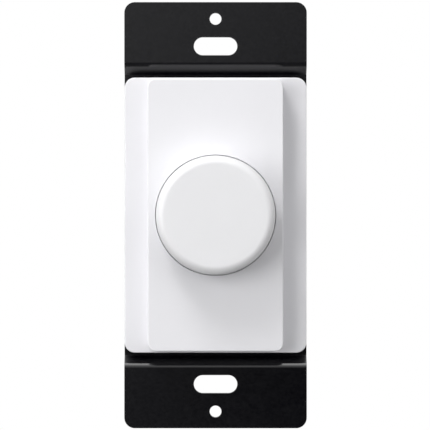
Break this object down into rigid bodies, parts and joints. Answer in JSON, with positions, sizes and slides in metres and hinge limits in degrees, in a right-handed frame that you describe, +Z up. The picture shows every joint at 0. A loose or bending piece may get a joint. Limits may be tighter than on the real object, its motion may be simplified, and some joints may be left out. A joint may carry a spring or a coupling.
{
  "type": "smart rotary dimmer switch",
  "caption": "Wall-box rotary dimmer with a push-and-turn dial in a raised white panel, on a black mounting strap with side terminals behind.",
  "frame": {"origin": "middle of the mounting strap on the wall plane, the back face of its two ears, on the dial's axis", "axes": "+X right and +Z up as seen from the room, -Y out of the wall towards the room"},
  "size_m": [0.045, 0.0495, 0.105],
  "materials": {
    "strap_black": "matt black coated steel",
    "white_plastic": "fine-grained satin white moulding",
    "dial_plastic": "smooth satin white moulding",
    "black_plastic": "fine-textured black moulding",
    "tray_plastic": "thin black insulating moulding",
    "circuit_board": "solder-masked glass laminate",
    "tinned_steel": "tin plated",
    "chip_plastic": "moulded package",
    "encoder_plastic": "moulded",
    "spring_steel": "plain spring sheet",
    "contact_brass": "stamped sheet",
    "rotor_plastic": "natural moulding",
    "zinc_cover": "zinc plated",
    "thermal_pad": "filled silicone",
    "zinc_screw": "zinc plated",
    "capacitor_can": "sleeved can",
    "film_plastic": "potted box",
    "ferrite": "sintered",
    "copper_wire": "enamelled copper",
    "varistor_blue": "dipped disc",
    "brass_screw": "plated screw",
    "green_screw": "green passivated screw"
  },
  "bodies": {
    "housing": {"mounting_strap": "strap_black", "front_bezel": "white_plastic", "rear_housing": "black_plastic", "insulating_tray": "tray_plastic", "control_board": "circuit_board", "power_board": "circuit_board", "radio_module": "circuit_board", "radio_shield": "tinned_steel", "control_chips": "chip_plastic", "switch_base": "encoder_plastic", "encoder_base": "encoder_plastic", "snap_dome": "spring_steel", "detent_spring": "spring_steel", "encoder_pins": "tinned_steel", "encoder_cover": "zinc_cover", "board_connector": "chip_plastic", "power_transistors": "chip_plastic", "thermal_pads": "thermal_pad", "transistor_screws": "zinc_screw", "bulk_capacitors": "capacitor_can", "film_capacitor": "film_plastic", "choke_core": "ferrite", "choke_winding": "copper_wire", "supply_transformer": "film_plastic", "varistor": "varistor_blue", "fuse": "ferrite", "housing_screws": "zinc_screw", "terminal_contacts": "contact_brass", "clamp_plates": "zinc_screw", "terminal_screws": "brass_screw", "ground_screw": "green_screw"},
    "rotor": {"encoder_rotor": "rotor_plastic", "contact_wiper": "contact_brass"},
    "dial": {"dial_knob": "dial_plastic", "knob_clip": "spring_steel", "encoder_shaft": "zinc_cover"},
    "plunger": {"switch_plunger": "rotor_plastic"}
  },
  "joints": [
    {"name": "dial_turn", "type": "hinge", "parent": "housing", "child": "rotor", "pos_m": [0, 0, 0], "axis": [0, 1, 0], "continuous": true},
    {"name": "dial_press", "type": "slide", "parent": "rotor", "child": "dial", "axis": [0, 1, 0], "range_m": [0, 0.0005], "stiffness_N_per_m": 2000, "springref_m": -0.0015},
    {"name": "plunger_press", "type": "slide", "parent": "housing", "child": "plunger", "axis": [0, 1, 0], "range_m": [0, 0.0005], "deforming": ["snap_dome"]}
  ],
  "couplings": [
    {"joint": "plunger_press", "follows": "dial_press", "ratio": 1}
  ]
}
